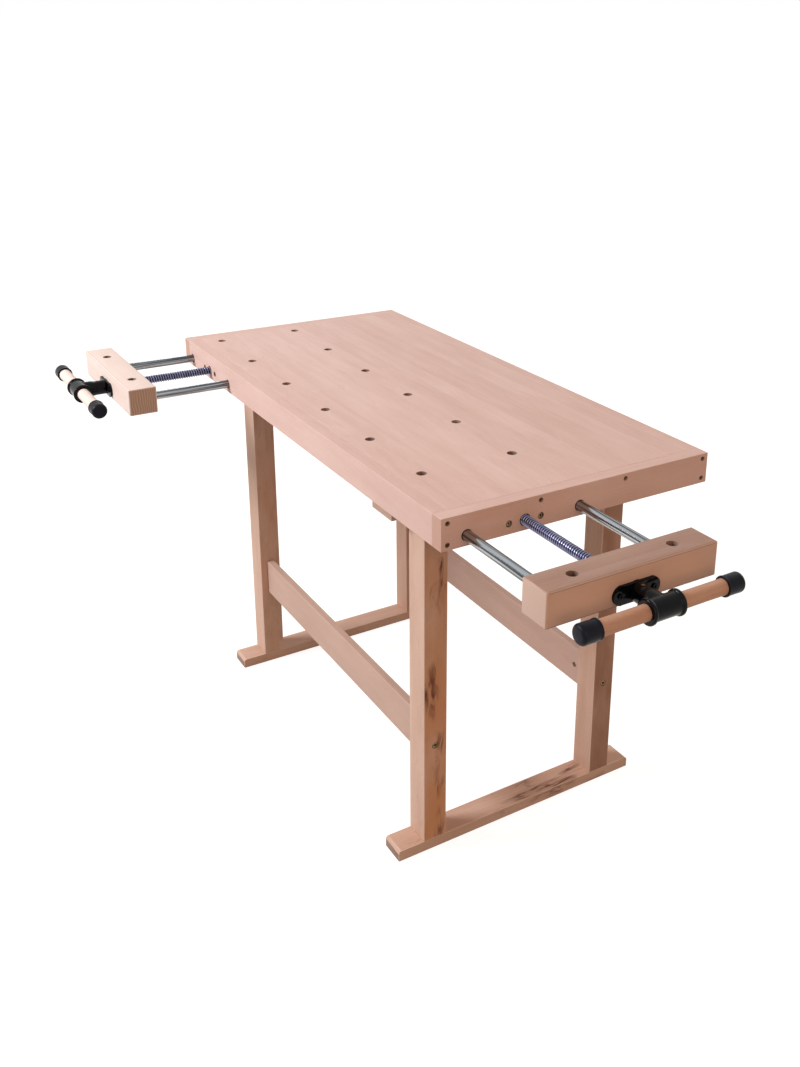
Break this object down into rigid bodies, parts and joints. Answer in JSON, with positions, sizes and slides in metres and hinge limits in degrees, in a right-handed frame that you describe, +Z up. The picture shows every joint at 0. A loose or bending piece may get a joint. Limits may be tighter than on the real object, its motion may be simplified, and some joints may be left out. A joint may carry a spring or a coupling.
{
  "type": "woodworking bench",
  "caption": "Beech workbench on two trestles, with a dog-hole top, a front vise and an end vise, each with guide rods, a lead screw and a sliding bar handle.",
  "frame": {"origin": "on the floor, under the middle of the top", "axes": "+X along the bench to the end vise, -Y to the front vise, +Z up"},
  "size_m": [1.7163, 0.9633, 0.85],
  "materials": {
    "beech_top": "satin lacquer",
    "beech_frame": "satin lacquer",
    "beech_warm": "satin lacquer",
    "beech_turned": "satin lacquer",
    "zinc_steel": "yellow zinc plated, dulled",
    "black_steel": "black oxide",
    "zinc_screw": "zinc plated",
    "chromed_rod": "polished",
    "black_casting": "black gloss paint",
    "black_rubber": "matt"
  },
  "bodies": {
    "bench": {"worktop_panel": "beech_top", "front_apron": "beech_top", "back_apron": "beech_top", "left_end_board": "beech_warm", "right_end_board": "beech_warm", "end_board_screws": "zinc_steel", "leg_front_left": "beech_frame", "leg_front_right": "beech_frame", "leg_back_left": "beech_frame", "leg_back_right": "beech_frame", "foot_left": "beech_frame", "foot_right": "beech_frame", "foot_screws": "zinc_steel", "upper_rail_left": "beech_frame", "upper_rail_right": "beech_frame", "stretcher_front": "beech_frame", "stretcher_back": "beech_frame", "stretcher_bolts": "zinc_steel", "barrel_nuts": "zinc_steel", "stretcher_dowels": "beech_frame", "leg_cleats": "beech_frame", "cleat_screws": "zinc_steel", "front_guide_blocks": "beech_warm", "end_guide_blocks": "beech_warm", "guide_block_screws": "zinc_steel", "front_nut_plate": "black_casting", "end_nut_plate": "black_casting", "nut_plate_bolts": "zinc_steel"},
    "front_jaw": {"front_jaw": "beech_frame", "front_guide_rods": "chromed_rod", "front_rod_setscrews": "zinc_steel", "front_rod_stops": "zinc_steel", "front_stop_screws": "zinc_steel", "front_flange": "black_casting", "front_flange_screws": "black_steel"},
    "front_screw": {"front_lead_screw": "zinc_screw", "front_collar": "zinc_steel", "front_hub": "black_casting", "front_hub_pin": "zinc_steel"},
    "front_handle": {"front_handle_bar": "beech_turned", "front_handle_caps": "black_rubber"},
    "end_jaw": {"end_jaw": "beech_frame", "end_guide_rods": "chromed_rod", "end_rod_setscrews": "zinc_steel", "end_rod_stops": "zinc_steel", "end_stop_screws": "zinc_steel", "end_flange": "black_casting", "end_flange_screws": "black_steel"},
    "end_screw": {"end_lead_screw": "zinc_screw", "end_collar": "zinc_steel", "end_hub": "black_casting", "end_hub_pin": "zinc_steel"},
    "end_handle": {"end_handle_bar": "beech_turned", "end_handle_caps": "black_rubber"}
  },
  "joints": [
    {"name": "front_jaw_slide", "type": "slide", "parent": "bench", "child": "front_jaw", "axis": [0, -1, 0], "range_m": [-0.191, 0.06]},
    {"name": "front_screw_turn", "type": "hinge", "parent": "front_jaw", "child": "front_screw", "pos_m": [-0.48, -0.567, 0.808], "axis": [0, -1, 0], "range_deg": [-11450, 3590]},
    {"name": "front_handle_slide", "type": "slide", "parent": "front_screw", "child": "front_handle", "axis": [1, 0, 0], "range_m": [-0.108, 0.108]},
    {"name": "end_jaw_slide", "type": "slide", "parent": "bench", "child": "end_jaw", "axis": [1, 0, 0], "range_m": [-0.239, 0.02]},
    {"name": "end_screw_turn", "type": "hinge", "parent": "end_jaw", "child": "end_screw", "pos_m": [0.965, -0.133, 0.808], "axis": [1, 0, 0], "range_deg": [-14330, 1190]},
    {"name": "end_handle_slide", "type": "slide", "parent": "end_screw", "child": "end_handle", "axis": [0, 1, 0], "range_m": [-0.093, 0.093]}
  ],
  "couplings": [
    {"joint": "front_jaw_slide", "follows": "front_screw_turn", "m_per_rad": 0.00095493},
    {"joint": "end_jaw_slide", "follows": "end_screw_turn", "m_per_rad": 0.00095493}
  ]
}
